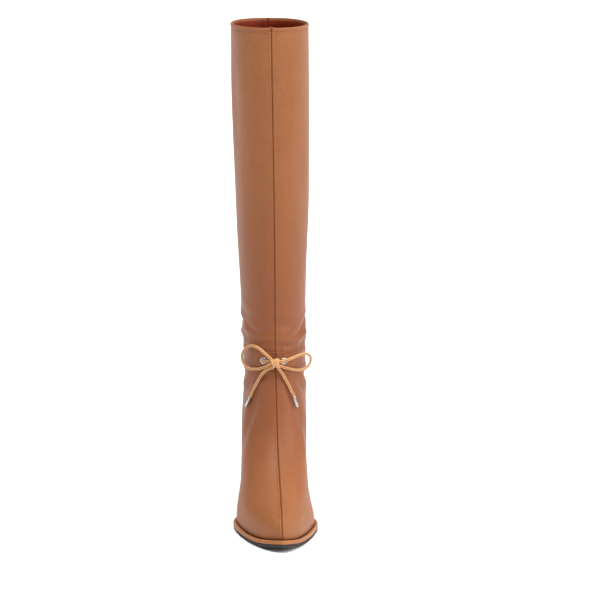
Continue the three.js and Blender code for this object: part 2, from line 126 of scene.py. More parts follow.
# ------------------------------------------------------------------ the last
feather_z = curve([
    (-60, 88.3), (-40, 85.6), (-18, 77.5), (0, 62), (20, 41.5), (35, 26.5), (50, 14.8), (63, 10.2),
    (76, SOLE_STACK), (130, SOLE_STACK), (155, 9.3), (186, 15),
])


def under(f, depth):
    """Height of a layer a given thickness under the feather line, measured square to it."""
    slope = feather_z(f + 0.5) - feather_z(f - 0.5)
    return feather_z(f) - depth * np.hypot(1, slope)


BALL_AT = {"outer": 0.375, "inner": 0.33}
WAIST_SIDE = {"outer": 1.14, "inner": 0.82}
TOE_SIDE = {"outer": 0.93, "inner": 0.87}

# Rings of the upper, from the feather line to the collar. Columns: front f and z, back f and z,
# dip, half widths outer, inner, waist and seat, toe end, heel end, blunt, lean at front and back, swing.
FOOT_RINGS = [
    (TOE_F, 14.2, HEEL_F, 87.8, 1, 43.2, 41.6, 20, 24, 0.42, 0.15, 1.66, 8, 0, 3),
    (182.5, 21, -59, 99, 0.98, 43.2, 40.6, 25, 28, 0.43, 0.17, 1.72, 8, 0, 3),
    (180, 30, -61, 111, 0.9, 41.6, 37.2, 29, 30.5, 0.45, 0.2, 1.8, 7.7, 0, 2.8),
    (167, 37.6, -61, 122, 0.78, 39, 34.8, 31.5, 31.5, 0.47, 0.25, 1.85, 7.2, -0.4, 2.6),
    (147, 44, -59.5, 132, 0.62, 37.4, 34.2, 33, 32, 0.48, 0.3, 1.88, 6.4, -1.4, 2.3),
    (125, 52.5, -57, 141, 0.46, 36.2, 33.8, 33.6, 32.2, 0.48, 0.36, 1.95, 5.4, -2.6, 2),
    (104, 65, -54.5, 149, 0.31, 35.4, 33.8, 33.6, 32.3, 0.48, 0.42, 2, 4.2, -3.2, 1.8),
    (85.5, 83.5, -52.5, 156.5, 0.18, 34.8, 33.8, 33.5, 32.4, 0.48, 0.46, 2, 2.9, -3.4, 1.5),
    (72, 107, -50.8, 164, 0.08, 34, 33.6, 33.3, 32.6, 0.5, 0.48, 2, 1.8, -3.2, 1.2),
]
# Above the foot each ring is an oval. Columns: front f and z, back f and z, dip, half width, leans.
SHAFT_RINGS = [
    (64, 138, -49.6, 173, 0.02, 33, 0.9, -2.8),
    (59.5, 181, -49.4, 188, 0, 33, -0.1, -3),
    (60, 207, -50.6, 210, 0, 34, -0.3, -4.6),
    (61.5, 252, -53.5, 252, 0, 35.4, -0.4, -5.2),
    (63.5, 323, -58.5, 323, 0, 38.1, -0.8, -6.2),
    (66, 403, -63.5, 403, 0, 40.4, -1.8, -7.2),
    (68, 472, -67, 472, 0, 41.3, -2.8, -8),
    (69, BOOT_HEIGHT, -69, BOOT_HEIGHT, 0, 41.2, -3.4, -8.4),
]
RINGS = FOOT_RINGS + [
    (ff, fz, bf, bz, dip, half, half, half, half, 0.5, 0.5, 2, lean, lean_back, 1)
    for ff, fz, bf, bz, dip, half, lean, lean_back in SHAFT_RINGS
]
RING_COLUMNS = [curve(list(enumerate(column))) for column in zip(*RINGS)]
HEEL_BLUNT = 2.2
TOP_LEVEL = len(RINGS) - 1


def upper_ring(level, turns):
    """Points round the upper at one level. A turn starts at the front seam and goes round the
    outer side of the foot to the back seam, and home by the inner side."""
    row = [column(level) for column in RING_COLUMNS]
    front_f, front_z, back_f, back_z, dip, outer, inner, waist, seat = row[:9]
    toe_end, heel_end, blunt, front_x, back_x, swing = row[9:]
    foot = max(0, 1 - level / (len(FOOT_RINGS) - 1))
    along = (1 - np.cos(turns)) / 2
    x = np.empty_like(turns)
    for side, ball, sign in (("outer", outer, -1), ("inner", inner, 1)):
        width = curve([
            (0, ball), (BALL_AT[side], ball), (0.72, waist * mix(1, WAIST_SIDE[side], foot)),
            (0.9, seat), (1, seat),
        ])
        power = blunt * mix(1, TOE_SIDE[side], foot)
        ends = rounded(along / toe_end, power) * rounded((1 - along) / heel_end, HEEL_BLUNT)
        here = (np.sin(turns) >= 0) == (side == "outer")
        x[here] = (sign * width(along) * ends)[here]
    f = mix(front_f, back_f, along)
    sole_chord = mix(feather_z(TOE_F), feather_z(HEEL_F), along)
    z = mix(front_z, back_z, along) + dip * (feather_z(mix(TOE_F, HEEL_F, along)) - sole_chord)
    lean = mix(back_x, front_x, (1 - along) ** swing)
    return np.stack([x + lean, -f, z], axis=-1)


def facing(points):
    """Outward unit normals of a net of points: rows go up the boot, columns once round it."""
    round_ = np.roll(points, -1, axis=1) - np.roll(points, 1, axis=1)
    up = np.gradient(points, axis=0)
    square = np.cross(up, round_)
    return square / np.linalg.norm(square, axis=-1, keepdims=True)


# ------------------------------------------------------------------ making meshes
def deselect():
    if bpy.context.object and bpy.context.object.mode != "OBJECT":
        bpy.ops.object.mode_set(mode="OBJECT")
    bpy.ops.object.select_all(action="DESELECT")


def pick(piece):
    deselect()
    bpy.context.view_layer.objects.active = piece
    piece.select_set(True)
    return piece


def named(name):
    """Names the primitive that was just added, or the pieces that were just joined."""
    piece = bpy.context.object
    piece.name = name
    piece.data.name = name
    return piece


def settle(piece, weld=0.004 * MM, close=False, smooth=38):
    """Merges doubles, closes open ends, turns the faces outwards and smooths the shading."""
    pick(piece)
    bpy.ops.object.mode_set(mode="EDIT")
    bpy.ops.mesh.select_all(action="SELECT")
    bpy.ops.mesh.remove_doubles(threshold=weld)
    bpy.ops.mesh.dissolve_degenerate(threshold=weld)
    if close:
        bpy.ops.mesh.fill_holes(sides=0)
    bpy.ops.mesh.select_all(action="SELECT")
    bpy.ops.mesh.normals_make_consistent(inside=False)
    bpy.ops.object.mode_set(mode="OBJECT")
    bpy.ops.object.shade_smooth_by_angle(angle=math.radians(smooth))
    return piece


def net(name, points, marks=None, close=False, weld=0.004 * MM, smooth=38):
    """A skin through rows and columns of points in millimetres, from a grid laid over them.
    marks are named values, one for each point, that finishes read."""
    rows, columns = points.shape[:2]
    deselect()
    bpy.ops.mesh.primitive_grid_add(x_subdivisions=columns - 1, y_subdivisions=rows - 1, size=1)
    piece = named(name)
    place = (points * MM + ORIGIN).reshape(-1).astype(np.float32)
    piece.data.vertices.foreach_set("co", place)
    for mark, values in (marks or {}).items():
        layer = piece.data.attributes.new(mark, "FLOAT", "POINT")
        layer.data.foreach_set("value", np.asarray(values, np.float32).reshape(-1))
    piece.data.update()
    return settle(piece, weld, close, smooth)


def apply(piece, kind, **settings):
    pick(piece)
    modifier = piece.modifiers.new(kind.lower(), kind)
    for key, value in settings.items():
        setattr(modifier, key, value)
    bpy.ops.object.modifier_apply(modifier=modifier.name)
    return piece


def place_by(piece, matrix):
    """Puts a piece made at the origin in its place, with that place in its mesh."""
    piece.data.transform(matrix)
    piece.data.update()
    return piece


def standing(at, direction, spin=0.0):
    """The frame of a piece made along +Z, to stand it at a point along a direction."""
    turn = Vector(direction).to_track_quat("Z", "Y").to_matrix().to_4x4()
    return Matrix.Translation(Vector(at)) @ turn @ Matrix.Rotation(spin, 4, "Z")


def turned(name, profile, sides=48, smooth=40):
    """A turned piece along +Z: a circle, extruded and scaled along (radius, height) in millimetres."""
    radius, height = profile[0]
    deselect()
    bpy.ops.mesh.primitive_circle_add(vertices=sides, radius=radius * MM, location=(0, 0, height * MM))
    piece = named(name)
    bpy.ops.object.transform_apply(location=True)
    bpy.ops.object.mode_set(mode="EDIT")
    bpy.ops.mesh.select_all(action="SELECT")
    for next_radius, next_height in profile[1:]:
        rise = (next_height - height) * MM
        bpy.ops.mesh.extrude_region_move(TRANSFORM_OT_translate={"value": (0, 0, rise)})
        share = next_radius / radius
        bpy.ops.transform.resize(value=(share, share, 1), center_override=(0, 0, next_height * MM))
        radius, height = next_radius, next_height
    bpy.ops.object.mode_set(mode="OBJECT")
    return settle(piece, close=True, smooth=smooth)


def copies(name, model, matrices):
    """Copies of one small piece, joined into a single mesh. The model itself is used up."""
    made = []
    for matrix in matrices:
        copy = model.copy()
        copy.data = model.data.copy()
        copy.data.transform(matrix)
        bpy.context.scene.collection.objects.link(copy)
        made.append(copy)
    bpy.data.objects.remove(model)
    deselect()
    for copy in made:
        copy.select_set(True)
    bpy.context.view_layer.objects.active = made[0]
    bpy.ops.object.join()
    return named(name)


def finished(piece, finish, slot, *nodes, body=BODY):
    piece.data.materials.clear()
    piece.data.materials.append(finish)
    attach(piece, body)
    if nodes:
        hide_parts(*nodes)
    return piece


# ------------------------------------------------------------------ finishes
def srgb(red, green, blue, alpha=1.0):
    """A display colour from 0 to 255 as the linear colour that sockets take."""
    parts = [c / 255 for c in (red, green, blue)]
    return (*[c / 12.92 if c <= 0.04045 else ((c + 0.055) / 1.055) ** 2.4 for c in parts], alpha)


class Wire:
    """A shader socket that takes part in arithmetic."""

    def __init__(self, finish, socket):
        self.finish = finish
        self.socket = socket

    def math(self, operation, *values):
        return self.finish.node("Math", {"operation": operation}, dict(enumerate(values)))

    def __add__(self, other):
        return self.math("ADD", self, other)

    __radd__ = __add__

    def __mul__(self, other):
        return self.math("MULTIPLY", self, other)

    __rmul__ = __mul__

    def __sub__(self, other):
        return self.math("SUBTRACT", self, other)

    def __rsub__(self, other):
        return self.math("SUBTRACT", other, self)


class Finish:
    """A material, or the studio's light, whose nodes are added one expression at a time."""

    def __init__(self, name, owner=None):
        self.material = owner or bpy.data.materials.new(name)
        self.material.use_nodes = True
        self.tree = self.material.node_tree
        self.tree.nodes.clear()

    def node(self, kind, settings=None, values=None, out=0):
        made = self.tree.nodes.new("ShaderNode" + kind)
        for key, value in (settings or {}).items():
            setattr(made, key, value)
        for key, value in (values or {}).items():
            if isinstance(value, Wire):
                self.tree.links.new(value.socket, made.inputs[key])
            else:
                made.inputs[key].default_value = value
        return Wire(self, made.outputs[out]) if len(made.outputs) else None

    def coords(self):
        return self.node("TexCoord", out=3)

    def height(self):
        return self.node("SeparateXYZ", None, {"Vector": self.coords()}, out=2)

    def scaled(self, scale):
        return self.node("Mapping", None, {"Vector": self.coords(), "Scale": scale})

    def noise(self, scale, detail=3, rough=0.5, where=None):
        where = where or self.coords()
        return self.node("TexNoise", None, {
            "Vector": where, "Scale": scale, "Detail": detail, "Roughness": rough})

    def cells(self, scale):
        return self.node("TexVoronoi", None, {"Vector": self.coords(), "Scale": scale})

    def mark(self, name):
        return self.node("Attribute", {"attribute_name": name}, out=2)

    def blend(self, a, b, share):
        return self.node("Mix", {"data_type": "RGBA", "clamp_factor": True}, {0: share, 6: a, 7: b}, out=2)

    def ramp(self, value, low, high):
        """0 up to low and 1 from high on, whichever of the two is larger."""
        return self.node("MapRange", None, {"Value": value, "From Min": low, "From Max": high})

    def bump(self, height, strength, depth, below=None):
        values = {"Height": height, "Strength": strength, "Distance": depth * MM}
        if below:
            values["Normal"] = below
        return self.node("Bump", None, values)

    def shade(self, **values):
        """Ends the material in one principled shader; underscores stand for spaces."""
        inputs = {key.replace("_", " "): value for key, value in values.items()}
        shader = self.node("BsdfPrincipled", None, inputs)
        self.node("OutputMaterial", None, {"Surface": shader})
        return self.material


# Heights in metres between which the leather is painted darker round the tie, as shade, below and above it.
TIE_SHADE_BELOW = (0.045, 0.1)
TIE_SHADE_ABOVE = (0.4, 0.24)


def leather(name, light, dark, seam_and_shade, rough=0.44, grain=620, coat=0.04, depth=0.06, tie_shade=None):
    """Smooth calf: cloudy colour, fine pores, soft gloss, darker where a mark is high that stands for dark
    seams and for shade painted into grooves and recesses. The colour given for the tie is painted in a band
    round it, as shade.
    """
    f = Finish(name)
    cloud = f.ramp(f.noise(16, detail=4, rough=0.6), 0.3, 0.7)
    fleck = f.ramp(f.noise(260, detail=3), 0.35, 0.65)
    colour = f.blend(dark, light, cloud * 0.7 + fleck * 0.3)
    seam_and_shade_share = f.mark("seam_and_shade")
    # Painted shade: a darker band round the tie, where the creases and the bow are.
    if tie_shade:
        near_tie = f.ramp(f.height(), *TIE_SHADE_BELOW) * f.ramp(f.height(), *TIE_SHADE_ABOVE)
        colour = f.blend(colour, tie_shade, near_tie * (0.4 + 0.3 * cloud))
    # Dark seams, and shade painted into grooves and recesses, from the mark for both.
    colour = f.blend(colour, seam_and_shade, seam_and_shade_share)
    pores = f.cells(grain)
    wrinkle = f.noise(grain * 1.7, detail=4, rough=0.65)
    soft = f.noise(70, detail=2)
    fine = f.bump(pores * 0.6 + wrinkle * 0.4, 0.5, depth)
    normal = f.bump(soft, 0.35, 0.5, fine)
    roughness = rough - 0.08 + 0.12 * wrinkle + 0.2 * seam_and_shade_share
    return f.shade(Base_Color=colour, Roughness=roughness, Normal=normal, Coat_Weight=coat,
                   Coat_Roughness=0.28, IOR=1.26)


TAN_LIGHT = srgb(146, 92, 56)
TAN_DARK = srgb(133, 80, 47)
# The colour of dark seams and of the shade painted into grooves and recesses.
TAN_SEAM_AND_SHADE = srgb(80, 29, 13)

upper_leather = leather("tan_calf", TAN_LIGHT, TAN_DARK, TAN_SEAM_AND_SHADE, rough=0.5, tie_shade=srgb(120, 66, 42))
heel_leather = leather("tan_calf_heel", TAN_LIGHT, TAN_DARK, TAN_SEAM_AND_SHADE, rough=0.4)
lining_leather = leather(
    "lining_calf", srgb(134, 46, 22), srgb(106, 36, 17), TAN_SEAM_AND_SHADE, rough=0.6, coat=0.0)
insole_leather = leather(
    "insole_calf", srgb(160, 120, 86), srgb(148, 106, 74), TAN_SEAM_AND_SHADE, rough=0.6, coat=0.0)
welt_leather = leather("welt_calf", srgb(162, 106, 64), srgb(148, 94, 54), TAN_SEAM_AND_SHADE, rough=0.42)
waist_leather = leather("waist_calf", srgb(160, 126, 94), srgb(148, 112, 82), TAN_SEAM_AND_SHADE, rough=0.5)
lace_leather = leather(
    "lace_calf", srgb(206, 158, 112), srgb(192, 142, 96), srgb(112, 62, 34), rough=0.5, grain=1400,
    depth=0.03)
thread = leather(
    "thread", srgb(168, 116, 82), srgb(154, 100, 68), TAN_SEAM_AND_SHADE, rough=0.7, grain=4000, coat=0.0)


def rubber_finish():
    f = Finish("black_rubber")
    speck = f.ramp(f.noise(900, detail=2), 0.4, 0.7)
    worn = f.ramp(f.noise(30, detail=3), 0.35, 0.75)
    colour = f.blend(srgb(25, 25, 25), srgb(38, 37, 37), speck * 0.5 + worn * 0.5)
    normal = f.bump(f.noise(1600, detail=2) * 0.5 + f.cells(700) * 0.5, 0.5, 0.08)
    return f.shade(Base_Color=colour, Roughness=0.72 + 0.1 * speck, Normal=normal, Coat_Weight=0.0)


def metal_finish():
    f = Finish("bright_metal")
    scuff = f.noise(1200, detail=3, where=f.scaled((1, 1, 0.15)))
    normal = f.bump(scuff, 0.15, 0.02)
    return f.shade(
        Base_Color=srgb(172, 170, 167), Metallic=1.0, Roughness=0.05 + 0.08 * scuff, Normal=normal)


black_rubber = rubber_finish()
bright_metal = metal_finish()

# ------------------------------------------------------------------ upper
SEAM_CROWD = 0.78
AROUND = 208
even = np.arange(AROUND + 1) * 2 * math.pi / AROUND
TURNS = even - SEAM_CROWD * np.sin(2 * even) / 2  # columns crowd together at the two seams

RIM_R = 1.35
RIM_UNDER_TOP = 1.5
SEAM_PEAK = 0.9
HEM_EXTRA = 2 * RIM_R - WALL
COLLAR_ROWS = np.array([40, 34, 28, 23, 18, 14, 11, 9, 8, 7.4, 6.8, 6.2, 5.6, 5, 4.2, 3.2, 2.3, 1.5])


def level_at(z):
    """Level of the ring whose front is at a height, above the foot."""
    levels = np.linspace(len(FOOT_RINGS), TOP_LEVEL, 4000)
    return np.interp(z, RING_COLUMNS[1](levels), levels)


def between(first, last, steps):
    return list(np.linspace(first, last, steps, endpoint=False))


LEVELS = np.array(
    between(0, 1, 9) + between(1, 4, 18) + between(4, 8, 28) + between(8, 9, 14) + between(9, 10, 26)
    + between(10, 11, 20) + between(11, 12, 20) + between(12, 15, 42)
    + between(15, level_at(BOOT_HEIGHT - 42), 3) + list(level_at(BOOT_HEIGHT - COLLAR_ROWS))
)
smooth_net = np.stack([upper_ring(level, TURNS[:-1]) for level in LEVELS])
smooth_facing = facing(smooth_net)

# Where each point is round its ring: distance from the front seam, plus on the inner side of the
# foot, and as a share of the ring from -0.5 to 0.5.
step = np.linalg.norm(np.roll(smooth_net, -1, axis=1) - smooth_net, axis=-1)
girth = step.sum(axis=1, keepdims=True)
from_front = np.concatenate([np.zeros((len(LEVELS), 1)), np.cumsum(step, axis=1)[:, :-1]], axis=1)
share_round = -(from_front / girth)
share_round = np.where(share_round < -0.5, share_round + 1, share_round)
front_off = share_round * girth
back_off = np.where(share_round > 0, share_round - 0.5, share_round + 0.5) * girth
height = smooth_net[..., 2]


def bell(distance, width):
    return np.exp(-((distance / width) ** 2))


def shelf(value, low, high):
    """0 below low, 1 above high, smooth between."""
    t = np.clip((value - low) / (high - low), 0, 1)
    return t * t * (3 - 2 * t)


def off_round(share):
    """Distance round the ring from a share of it, the short way."""
    return ((share_round - share + 0.5) % 1 - 0.5) * girth


# Soft creases. Columns: share round from the front seam (plus is the inner side), height, half
# length, lean in degrees, bow, width and depth in millimetres.
CREASES = [
    (0.060, 191.9, 17, 4, 2.0, 3.0, 1.05),
    (0.110, 201.4, 22, 14, 3.0, 4.0, 1.15),
    (0.045, 213.4, 16, -6, 2.0, 4.5, 0.60),
    (0.170, 191.4, 22, -10, -3.0, 4.0, 1.20),
    (0.200, 210.4, 26, 10, 3.0, 5.0, 1.00),
    (-0.055, 194.4, 17, -5, 2.0, 3.2, 0.95),
    (-0.100, 205.4, 22, -16, 3.0, 4.2, 0.95),
    (-0.180, 197.4, 24, 8, -3.0, 4.4, 1.20),
    (-0.150, 220.4, 24, -10, 4.0, 5.5, 0.60),
    (-0.260, 208.4, 26, -4, 3.0, 5.0, 1.10),
    (0.280, 199.4, 26, 4, -3.0, 5.0, 1.20),
    (0.330, 216.4, 24, -8, 3.0, 5.5, 0.80),
    (-0.350, 194.4, 26, 6, 3.0, 4.6, 1.20),
    (-0.420, 210.4, 24, 10, 3.0, 5.2, 0.90),
    (0.420, 192.4, 26, -6, -3.0, 4.6, 1.20),
    (0.060, 156.4, 17, -10, -2.0, 3.2, 0.90),
    (0.120, 146.4, 20, -24, -3.0, 4.2, 0.90),
    (-0.060, 157.4, 17, 10, -2.0, 3.2, 0.80),
    (-0.130, 148.4, 22, 26, -3.0, 4.4, 0.90),
    (-0.230, 152.4, 26, 14, 3.0, 4.8, 1.10),
    (0.230, 151.4, 26, -14, 3.0, 4.8, 1.10),
    (-0.340, 166.4, 22, 10, 3.0, 4.2, 0.90),
    (0.340, 166.4, 22, -10, 3.0, 4.2, 0.90),
    (-0.095, 128.0, 30, 62, 4.0, 6.0, 0.70),
    (0.085, 126.0, 28, -64, -4.0, 6.0, 0.60),
    (-0.150, 100.0, 34, 50, 5.0, 7.0, 0.60),
    (0.150, 98.0, 30, -50, -5.0, 7.0, 0.55),
    (-0.060, 330.0, 60, 84, 6.0, 11.0, 0.45),
    (0.110, 380.0, 70, 95, -6.0, 12.0, 0.45),
    (-0.170, 440.0, 60, 92, 5.0, 11.0, 0.50),
    (0.020, 300.0, 30, 12, 4.0, 9.0, 0.35),
    (0.300, 330.0, 60, 82, 6.0, 13.0, 0.60),
    (-0.330, 300.0, 60, 96, 6.0, 13.0, 0.60),
]
CREASE_DEPTH = 2.0


def crease_depth():
    total = np.zeros_like(height)
    for share, z, reach, lean, bow, width, depth in CREASES:
        across = off_round(share)
        rise = height - z
        c, s = math.cos(math.radians(lean)), math.sin(math.radians(lean))
        along = across * c + rise * s
        off = rise * c - across * s - bow * (along / reach) ** 2
        taper = bell(along, reach * 0.8)
        trough = bell(off, width) - 0.45 * bell(np.abs(off) - 2.0 * width, width)
        total += CREASE_DEPTH * depth * taper * trough
    return total


rng = np.random.default_rng(7)
PUCKERS = 38
pucker_at = (np.arange(PUCKERS) + rng.uniform(-0.3, 0.3, PUCKERS)) / PUCKERS - 0.5
pucker_deep = rng.uniform(0.3, 1.0, PUCKERS)


def pucker_depth():
    """Short gathers that run up and down from the tunnel of the lace."""
    total = np.zeros_like(height)
    mid = (CASING_TOP_Z + CASING_FOOT_Z) / 2
    edge = np.abs(height - mid) - (CASING_TOP_Z - CASING_FOOT_Z) / 2
    fade = np.where(edge > 0, bell(edge, 9), bell(edge, 6) * 0.8)
    for share, deep in zip(pucker_at, pucker_deep):
        total += deep * bell(off_round(share), 2.1)
    return total * fade


def seam_shape(off, groove, puff):
    """A closed seam: a fine valley between two soft ridges."""
    return puff * bell(np.abs(off) - 1.6, 1.0) - groove * bell(off, 0.5)


blouse = 1.5 * bell(height - CASING_TOP_Z - 11, 7) + 0.6 * bell(height - CASING_FOOT_Z + 12, 8)
past_foot = shelf(height, CASING_FOOT_Z - 2, CASING_FOOT_Z + 2)
past_top = shelf(height, CASING_TOP_Z - 2, CASING_TOP_Z + 2)
tunnel = past_foot * (1 - past_top)
stitch_lines = bell(height - CASING_TOP_Z, 0.9) + bell(height - CASING_FOOT_Z, 0.9)
below_rim = BOOT_HEIGHT - height
hem_line = bell(below_rim - HEM, 1.2)
hem_roll = 0.4 * (1 - shelf(below_rim, HEM - 1.8, HEM + 0.4))
toe_puff = 0.28 + 0.35 * (1 - shelf(height, 45, 90))
above_counter = shelf(height, 95, 110)

lift = (
    seam_shape(front_off, 0.8, toe_puff)
    + seam_shape(back_off, 0.7, 0.25) * above_counter
    - crease_depth()
    - pucker_depth()
    + 0.55 * tunnel
    + blouse
    - 0.5 * stitch_lines
    - 0.3 * hem_line
    + hem_roll
)
lift *= shelf(LEVELS, 0.05, 0.8)[:, None]
outside = smooth_net + smooth_facing * lift[..., None]
outside[..., 2] += SEAM_PEAK * bell(front_off, 3.2) * (1 - shelf(below_rim, 0, 9))
seam_fold = np.clip(bell(front_off, 0.42) + bell(back_off, 0.42) * above_counter, 0, 1)
# Dark seams, with shade painted along the grooves of the hem and of the tunnel's stitching.
seam_and_shade = np.clip(0.75 * seam_fold + 0.22 * hem_line + 0.42 * stitch_lines, 0, 1)
# Painted shade along the foot of the upper, where it goes in under the welt.
seam_and_shade = np.maximum(seam_and_shade, 0.75 * (1 - shelf(LEVELS, 0.0, 0.16))[:, None])

RIM_STEPS = 7
INSIDE_EVERY = 2
level_facing = smooth_facing.copy()
level_facing[..., 2] = 0
level_facing /= np.linalg.norm(level_facing, axis=-1, keepdims=True)
UP = np.array([0, 0, 1])
rim_centre = outside[-1] + (RIM_UNDER_TOP - RIM_R) * UP - level_facing[-1] * RIM_R
rim_turns = np.linspace(0, math.pi, RIM_STEPS + 2)[1:-1]
rim = [
    rim_centre + RIM_R * (math.cos(turn) * level_facing[-1] + math.sin(turn) * UP) for turn in rim_turns
]
rows_inside = np.arange(len(LEVELS) - 1, -1, -INSIDE_EVERY)
if rows_inside[-1] != 0:
    rows_inside = np.append(rows_inside, 0)
inner_facing = smooth_facing.copy()
inner_facing[0] = level_facing[0]
in_hem = 1 - shelf(below_rim, 9, 10.5)
hem_in = HEM_EXTRA * in_hem
notch = 0.7 * bell(back_off, 0.9) * in_hem
inside = smooth_net - inner_facing * (WALL + hem_in - notch)[..., None]
inside += smooth_facing * np.clip(lift, -1.2, 0.2)[..., None] * 0.7
upper_points = np.concatenate([outside, np.stack(rim), inside[rows_inside], outside[:1]])
rim_fold = (0.8 * bell(back_off, 0.8) + 0.6 * bell(front_off, 0.6))[-1:].repeat(len(rim), 0)
# Inside, the back seam is dark and the whole wall is painted a little darker, as shade inside the boot.
inside_seam_and_shade = (0.75 * bell(back_off, 0.8) + 0.12)[rows_inside]
upper_seam_and_shade = np.clip(np.concatenate([seam_and_shade, rim_fold, inside_seam_and_shade, seam_and_shade[:1]]), 0, 1)


def ringed(values):
    """Repeats the first column after the last, so that a net closes round the boot."""
    return np.concatenate([values, values[:, :1]], axis=1)


upper = net("boot_upper", ringed(upper_points), {"seam_and_shade": ringed(upper_seam_and_shade)}, smooth=60)


# ------------------------------------------------------------------ eyelets
RISE_AT_TIE = SHAFT_RINGS[1][1] - SHAFT_RINGS[0][1]


def eyelet_seat(x):
    """Where an eyelet sits on the smooth leather and the way it faces, level with the floor."""
    turns = np.linspace(-math.pi / 2, math.pi / 2, 4001)
    level = float(level_at(TIE_Z))
    for _ in range(4):
        ring = upper_ring(level, turns)
        i = int(np.argmin(np.abs(ring[:, 0] - x)))
        level += (TIE_Z - ring[i, 2]) / RISE_AT_TIE
    low_ring = upper_ring(level - 0.02, turns)
    high_ring = upper_ring(level + 0.02, turns)
    normal = np.cross(high_ring[i] - low_ring[i], ring[i + 1] - ring[i - 1])
    normal[2] = 0
    at = ring[i].copy()
    at[2] = TIE_Z
    return at, normal / np.linalg.norm(normal)


seats = {name: eyelet_seat(x) for name, x in EYELET_PLACES.items()}
HOLE_R = 2.75
EYELET_PROFILE = [
    (2.1, -1.6), (2.45, -1.6), (2.45, 0.5), (3.7, 0.5), (3.98, 0.62), (4.05, 0.9), (3.95, 1.2), (3.65, 1.42),
    (3.2, 1.58), (2.75, 1.54), (2.4, 1.32), (2.18, 1.0), (2.1, 0.5), (2.1, -1.6),
]


def punch(piece):
    """Cuts the eyelets' holes through a wall."""
    for at, normal in seats.values():
        deselect()
        bpy.ops.mesh.primitive_cylinder_add(vertices=32, radius=HOLE_R * MM, depth=14 * MM)
        cutter = named("punch")
        place_by(cutter, standing(at * MM + ORIGIN, normal))
        apply(piece, "BOOLEAN", operation="DIFFERENCE", object=cutter, solver="EXACT")
        bpy.data.objects.remove(cutter)
    return piece


punch(upper)
finished(upper, upper_leather, "upper_leather", "upper")

for name, (at, normal) in seats.items():
    ring = turned("rim_" + name, EYELET_PROFILE)
    place_by(ring, standing(at * MM + ORIGIN, normal))
    finished(ring, bright_metal, "bright_metal", name)

# ------------------------------------------------------------------ lining
LINING = 0.7
LINING_FROM_RIM = 3.5
LINING_FROM_LEVEL = 0.35
lining_rows = [
    i for i in range(0, len(LEVELS), 3)
    if LEVELS[i] > LINING_FROM_LEVEL and below_rim[i].min() > LINING_FROM_RIM
]
lining_rows.append(int(np.argmin(np.abs(below_rim[:, 0] - LINING_FROM_RIM))))
lining_out = inside[lining_rows] - smooth_facing[lining_rows] * 0.08
lining_in = inside[lining_rows] - smooth_facing[lining_rows] * LINING
tape = 0.45 * (shelf(back_off, -6.5, -6.0) - shelf(back_off, 6.0, 6.5))[lining_rows]
lining_in = lining_in - smooth_facing[lining_rows] * tape[..., None]
lining_points = np.concatenate([lining_out, lining_in[::-1], lining_out[:1]])
tape_edge = bell(np.abs(back_off) - 6.4, 0.7)[lining_rows]
seam_line = bell(back_off, 0.6)[lining_rows]
hidden = np.zeros_like(tape_edge)
lining_fold = np.concatenate([hidden, (0.7 * tape_edge + 0.8 * seam_line)[::-1], hidden[:1]])
lining = net("lining", ringed(lining_points), {"seam_and_shade": ringed(lining_fold)}, smooth=60)
punch(lining)
finished(lining, lining_leather, "upper_leather")


# ------------------------------------------------------------------ stitches
def stitch_model(length, thick):
    deselect()
    bpy.ops.mesh.primitive_cylinder_add(vertices=8, radius=thick / 2 * MM, depth=length * MM)
    piece = named("stitch")
    bpy.ops.object.mode_set(mode="EDIT")
    bpy.ops.mesh.select_all(action="SELECT")
    bpy.ops.mesh.bevel(offset=thick * 0.3 * MM, segments=2, affect="EDGES")
    bpy.ops.object.mode_set(mode="OBJECT")
    return settle(piece, smooth=60)


STITCH_THICK = 0.55
STITCH_SUNK = 0.1


def stitched(name, line, normals, pitch, length):
    """A row of stitches laid along a closed line of points in millimetres."""
    hop = np.linalg.norm(np.diff(line, axis=0), axis=1)
    run = np.concatenate([[0], np.cumsum(hop)])

    def along(values, place):
        return np.array([np.interp(place, run, values[:, k]) for k in range(3)])

    count = int(run[-1] / pitch)
    matrices = []
    for middle in (np.arange(count) + 0.5) * run[-1] / count:
        at = along(line, middle) - along(normals, middle) * STITCH_SUNK
        direction = along(line, middle + 0.5) - along(line, middle - 0.5)
        matrices.append(standing(at * MM + ORIGIN, direction))
    row = copies(name, stitch_model(length, STITCH_THICK), matrices)
    bpy.ops.object.shade_smooth_by_angle(angle=math.radians(60))
    return finished(row, thread, "upper_leather")


SHAFT_ROW = 60


def line_at_height(z):
    """The shaft's outside where it is a given height, once round, and the way it faces there."""
    shaft = outside[SHAFT_ROW:]
    points = []
    normals = []
    for j in range(AROUND):
        points.append([np.interp(z, shaft[:, j, 2], shaft[:, j, k]) for k in range(3)])
        i = int(np.argmin(np.abs(shaft[:, j, 2] - z)))
        normals.append(smooth_facing[SHAFT_ROW + i, j])
    return np.array(points + points[:1]), np.array(normals + normals[:1])


for name, z, pitch, length in (
    ("tunnel_stitches_upper", CASING_TOP_Z, 2.5, 1.9),
    ("tunnel_stitches_lower", CASING_FOOT_Z, 2.5, 1.9),
    ("hem_stitches", BOOT_HEIGHT - HEM, 2.9, 2.2),
):
    line, normals = line_at_height(z)
    stitched(name, line, normals, pitch, length)


# ------------------------------------------------------------------ plates under the foot
OUTLINE = 240
RIM_CROWD = 0.35
outline_even = np.arange(OUTLINE + 1) * 2 * math.pi / OUTLINE
outline_turns = outline_even - RIM_CROWD * np.sin(2 * outline_even) / 2


